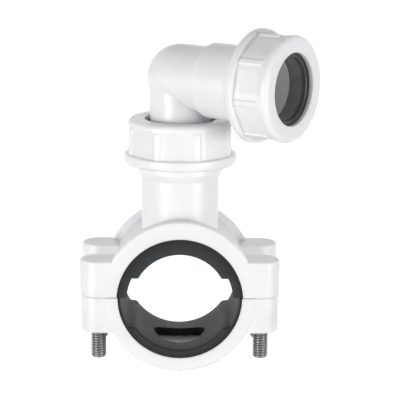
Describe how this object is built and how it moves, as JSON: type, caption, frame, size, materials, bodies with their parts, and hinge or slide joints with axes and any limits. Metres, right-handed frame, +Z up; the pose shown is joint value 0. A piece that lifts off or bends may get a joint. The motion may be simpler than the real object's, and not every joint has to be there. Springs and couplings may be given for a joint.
{
  "type": "pipe clamp",
  "caption": "Two-part saddle clamp with rubber linings and studs, carrying a branch spigot, a swivel elbow and ribbed compression nuts.",
  "frame": {"origin": "on the axis of the clamped pipe, half way along the clamp", "axes": "+Y along the clamped pipe, +Z up the branch, -Y towards the front face; the elbow points to +X and is swung towards -Y"},
  "size_m": [0.0927, 0.0674, 0.1353],
  "materials": {
    "white_plastic": "glossy moulded polypropylene",
    "black_rubber": "matt moulded rubber",
    "zinc_steel": "bright zinc plate",
    "slip_plastic": "natural plastic"
  },
  "bodies": {
    "saddle": {"upper_saddle": "white_plastic", "upper_lining": "black_rubber", "inlet_seal": "black_rubber", "stud_front_left": "zinc_steel", "stud_front_right": "zinc_steel", "stud_rear_left": "zinc_steel", "stud_rear_right": "zinc_steel"},
    "strap": {"lower_strap": "white_plastic", "lower_lining": "black_rubber", "washer_front_left": "zinc_steel", "washer_front_right": "zinc_steel", "washer_rear_left": "zinc_steel", "washer_rear_right": "zinc_steel"},
    "nut_front_left": {"slotted_nut_front_left": "zinc_steel"},
    "nut_front_right": {"slotted_nut_front_right": "zinc_steel"},
    "nut_rear_left": {"slotted_nut_rear_left": "zinc_steel"},
    "nut_rear_right": {"slotted_nut_rear_right": "zinc_steel"},
    "inlet_ring": {"inlet_slip_ring": "slip_plastic"},
    "inlet_nut": {"inlet_nut": "white_plastic"},
    "elbow": {"elbow": "white_plastic", "outlet_seal": "black_rubber"},
    "outlet_ring": {"outlet_slip_ring": "slip_plastic"},
    "outlet_nut": {"outlet_nut": "white_plastic"}
  },
  "joints": [
    {"name": "strap_drop", "type": "slide", "parent": "saddle", "child": "strap", "axis": [0, 0, -1], "range_m": [0, 0.01]},
    {"name": "nut_front_left_turn", "type": "hinge", "parent": "strap", "child": "nut_front_left", "pos_m": [-0.0318, -0.0142, -0.01], "axis": [0, 0, -1], "range_deg": [0, 3600]},
    {"name": "nut_front_right_turn", "type": "hinge", "parent": "strap", "child": "nut_front_right", "pos_m": [0.0318, -0.0142, -0.01], "axis": [0, 0, -1], "range_deg": [0, 3600]},
    {"name": "nut_rear_left_turn", "type": "hinge", "parent": "strap", "child": "nut_rear_left", "pos_m": [-0.0318, 0.0142, -0.01], "axis": [0, 0, -1], "range_deg": [0, 3600]},
    {"name": "nut_rear_right_turn", "type": "hinge", "parent": "strap", "child": "nut_rear_right", "pos_m": [0.0318, 0.0142, -0.01], "axis": [0, 0, -1], "range_deg": [0, 3600]},
    {"name": "inlet_ring_lift", "type": "slide", "parent": "saddle", "child": "inlet_ring", "axis": [0, 0, 1], "range_m": [0, 0.0014]},
    {"name": "inlet_nut_turn", "type": "hinge", "parent": "inlet_ring", "child": "inlet_nut", "pos_m": [0, 0, 0.06], "axis": [0, 0, 1], "range_deg": [0, 215]},
    {"name": "elbow_swivel", "type": "hinge", "parent": "saddle", "child": "elbow", "pos_m": [0, 0, 0.085], "axis": [0, 0, 1], "continuous": true},
    {"name": "outlet_ring_travel", "type": "slide", "parent": "elbow", "child": "outlet_ring", "axis": [0.8251, -0.565, 0], "range_m": [0, 0.00695]},
    {"name": "outlet_nut_turn", "type": "hinge", "parent": "outlet_ring", "child": "outlet_nut", "pos_m": [0.03548, -0.02429, 0.085], "axis": [0.8251, -0.565, 0], "range_deg": [0, 1080]}
  ],
  "couplings": [
    {"joint": "nut_front_left_turn", "follows": "strap_drop", "rad_per_m": 6283.2},
    {"joint": "nut_front_right_turn", "follows": "strap_drop", "rad_per_m": 6283.2},
    {"joint": "nut_rear_left_turn", "follows": "strap_drop", "rad_per_m": 6283.2},
    {"joint": "nut_rear_right_turn", "follows": "strap_drop", "rad_per_m": 6283.2},
    {"joint": "inlet_ring_lift", "follows": "inlet_nut_turn", "m_per_rad": 0.00036749},
    {"joint": "outlet_ring_travel", "follows": "outlet_nut_turn", "m_per_rad": 0.00036749}
  ]
}
